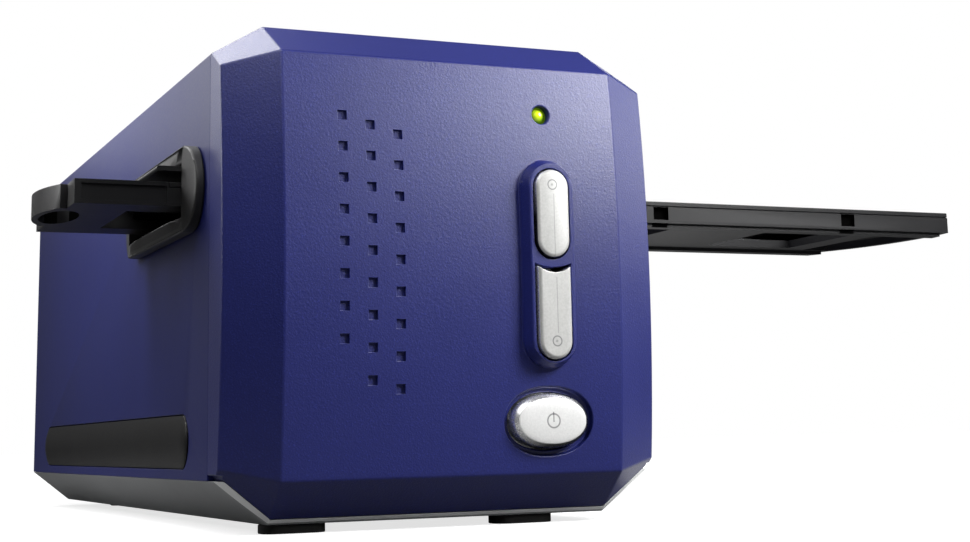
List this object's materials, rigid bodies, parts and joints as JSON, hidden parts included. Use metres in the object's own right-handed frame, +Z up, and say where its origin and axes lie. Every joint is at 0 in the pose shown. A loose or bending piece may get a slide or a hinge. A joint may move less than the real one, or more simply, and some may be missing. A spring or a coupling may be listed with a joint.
{
  "type": "film negative scanner",
  "caption": "Desktop film scanner with a bowed front panel, push buttons and a slide holder passing sideways through slots; a lamp and lens carriage travels inside on guide rods",
  "frame": {"origin": "on the desk plane, under the centre of the housing's footprint (110 mm by 272 mm)", "axes": "+X to the viewer's right along the holder, the front panel faces -Y so +Y runs along the depth, +Z up"},
  "size_m": [0.2615, 0.2762, 0.119],
  "materials": {
    "tray_plastic": "satin warm grey moulding",
    "cover_plastic": "satin dark blue moulding with a fine grain",
    "front_plastic": "satin dark blue moulding, fine grain on the panel and smooth bevels",
    "black_plastic": "satin black moulding",
    "holder_plastic": "satin black moulding",
    "flap_plastic": "matte black",
    "foot_rubber": "matte black",
    "screw_steel": "zinc plated",
    "lens_green": "clear lime green",
    "led_plastic": "clear epoxy",
    "board_green": "solder resist on glass fibre board",
    "switch_plastic": "black",
    "button_silver": "silver-white paint under clear coat",
    "gate_plastic": "matte black",
    "spring_steel": "bright",
    "bracket_steel": "zinc plated sheet",
    "rod_steel": "ground and polished",
    "bush_bronze": "sintered bronze",
    "mirror_glass": "front silvered",
    "lens_glass": "coated",
    "lamp_white": "white fluorescent tube",
    "diffuser_white": "milky",
    "sensor_ceramic": "matte ceramic with glass window",
    "nut_plastic": "natural acetal",
    "motor_steel": "zinc plated can"
  },
  "bodies": {
    "housing": {"base_tray": "tray_plastic", "main_cover": "cover_plastic", "front_bezel": "front_plastic", "rear_panel": "black_plastic", "left_slot_guard": "black_plastic", "right_slot_guard": "black_plastic", "left_side_strip": "black_plastic", "right_side_strip": "black_plastic", "rubber_feet": "foot_rubber", "case_screws": "screw_steel", "status_lens": "lens_green", "status_led": "led_plastic", "button_board": "board_green", "push_switches": "switch_plastic", "film_gate": "gate_plastic", "gate_cover": "gate_plastic", "detent_spring": "spring_steel", "front_rod_bracket": "bracket_steel", "rear_rod_bracket": "bracket_steel", "left_guide_rod": "rod_steel", "right_guide_rod": "rod_steel", "screw_bearing": "gate_plastic", "stepper_motor": "motor_steel", "main_board": "board_green", "usb_socket": "spring_steel", "power_jack": "black_plastic", "lamp_inverter": "board_green", "home_sensor": "black_plastic"},
    "holder": {"holder_frame": "holder_plastic", "holder_top_plate": "holder_plastic", "slide_springs": "spring_steel"},
    "carriage": {"carriage_sled": "gate_plastic", "carriage_bushes": "bush_bronze", "carriage_arm": "gate_plastic", "lamp_housing": "gate_plastic", "lamp_tube": "lamp_white", "lamp_diffuser": "diffuser_white", "mirror": "mirror_glass", "lens_barrel": "black_plastic", "front_lens": "lens_glass", "rear_lens": "lens_glass", "sensor_board": "board_green", "image_sensor": "sensor_ceramic", "drive_nut": "nut_plastic"},
    "screw": {"lead_screw": "screw_steel"},
    "upper_button": {"scan_button_upper": "button_silver"},
    "lower_button": {"scan_button_lower": "button_silver"},
    "power_key": {"power_button": "button_silver"},
    "left_flap": {"left_dust_flap": "flap_plastic"},
    "right_flap": {"right_dust_flap": "flap_plastic"}
  },
  "joints": [
    {"name": "holder_slide", "type": "slide", "parent": "housing", "child": "holder", "axis": [1, 0, 0], "range_m": [-0.2, 0.064]},
    {"name": "scan_button_upper_push", "type": "slide", "parent": "housing", "child": "upper_button", "axis": [0, 1, 0], "range_m": [0, 0.0006], "stiffness_N_per_m": 2500},
    {"name": "scan_button_lower_push", "type": "slide", "parent": "housing", "child": "lower_button", "axis": [0, 1, 0], "range_m": [0, 0.0006], "stiffness_N_per_m": 2500},
    {"name": "power_button_push", "type": "slide", "parent": "housing", "child": "power_key", "axis": [0, 1, 0], "range_m": [0, 0.0006], "stiffness_N_per_m": 2500},
    {"name": "carriage_travel", "type": "slide", "parent": "housing", "child": "carriage", "axis": [0, 1, 0], "range_m": [-0.034, 0]},
    {"name": "lead_screw_turn", "type": "hinge", "parent": "housing", "child": "screw", "pos_m": [-0.02, 0.06, 0.0185], "axis": [0, 1, 0], "range_deg": [-3060, 0]},
    {"name": "left_flap_hinge", "type": "hinge", "parent": "housing", "child": "left_flap", "pos_m": [-0.0512, -0.07275, 0.086], "axis": [0, 1, 0], "range_deg": [-9.2, 0]},
    {"name": "right_flap_hinge", "type": "hinge", "parent": "housing", "child": "right_flap", "pos_m": [0.0512, -0.07275, 0.086], "axis": [0, 1, 0], "range_deg": [-9.2, 0]}
  ],
  "couplings": [
    {"joint": "lead_screw_turn", "follows": "carriage_travel", "rad_per_m": 1570.8}
  ]
}
